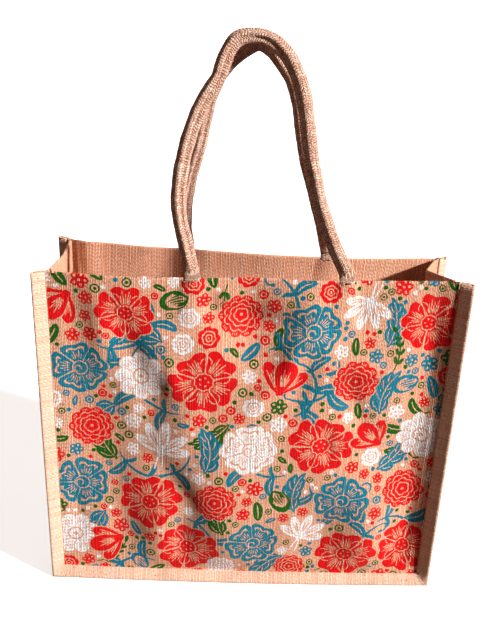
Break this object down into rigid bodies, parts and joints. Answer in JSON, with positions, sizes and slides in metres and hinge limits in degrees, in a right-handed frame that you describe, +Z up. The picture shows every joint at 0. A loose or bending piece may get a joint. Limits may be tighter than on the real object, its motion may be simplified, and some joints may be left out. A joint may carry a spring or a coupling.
{
  "type": "burlap shopping bag",
  "caption": "Upright burlap shopping bag with bound flange seams, a side-and-base gusset, rolled carrying handles and a floral print on its front.",
  "frame": {"origin": "on the floor under the middle of the base", "axes": "+X to the right as seen from the printed front, +Y from the printed front to the back, +Z up"},
  "size_m": [0.4164, 0.1299, 0.5737],
  "materials": {
    "printed_burlap": "coarse plain weave with matt screen-printed ink",
    "burlap": "coarse plain weave, matt, slightly hairy",
    "binding_tape": "folded burlap tape, matt, stitched",
    "webbing": "rolled herringbone webbing, matt, hairy"
  },
  "bodies": {
    "root": {"front_panel": "printed_burlap", "back_panel": "burlap", "gusset": "burlap", "front_binding": "binding_tape", "back_binding": "binding_tape", "front_handle": "webbing", "back_handle": "webbing"}
  },
  "joints": []
}
